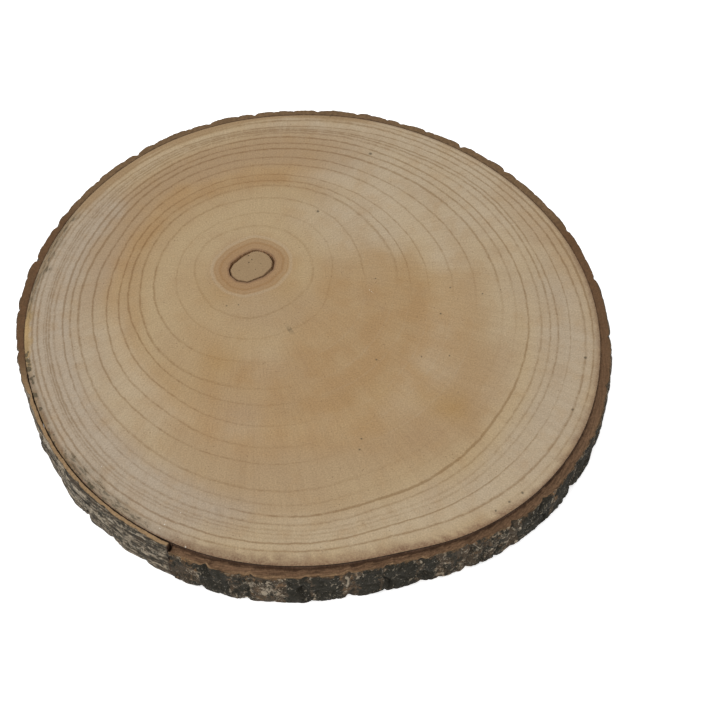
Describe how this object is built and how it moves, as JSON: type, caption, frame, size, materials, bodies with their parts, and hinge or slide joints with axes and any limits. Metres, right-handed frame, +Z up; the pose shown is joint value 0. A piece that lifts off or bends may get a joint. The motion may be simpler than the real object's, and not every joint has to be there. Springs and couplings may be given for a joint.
{
  "type": "wood slice",
  "caption": "Round slice sawn across a trunk, with furrowed bark round the rim and a flat face that carries a centrepiece, cake or plant.",
  "frame": {"origin": "middle of the slice's outline in plan, on the surface it lies on", "axes": "+Z up through the thickness, from the underside to the sawn face; the trunk's length ran along Z; the split in the bark is on the -Y side and the pith is towards -X and +Y"},
  "size_m": [0.293, 0.276, 0.03],
  "materials": {
    "sawn_wood": "dry sanded end grain, matt",
    "bark": "rough weathered bark, matt",
    "pith": "soft pith, matt"
  },
  "bodies": {
    "root": {"wood": "sawn_wood", "bark": "bark", "pith": "pith"}
  },
  "joints": []
}
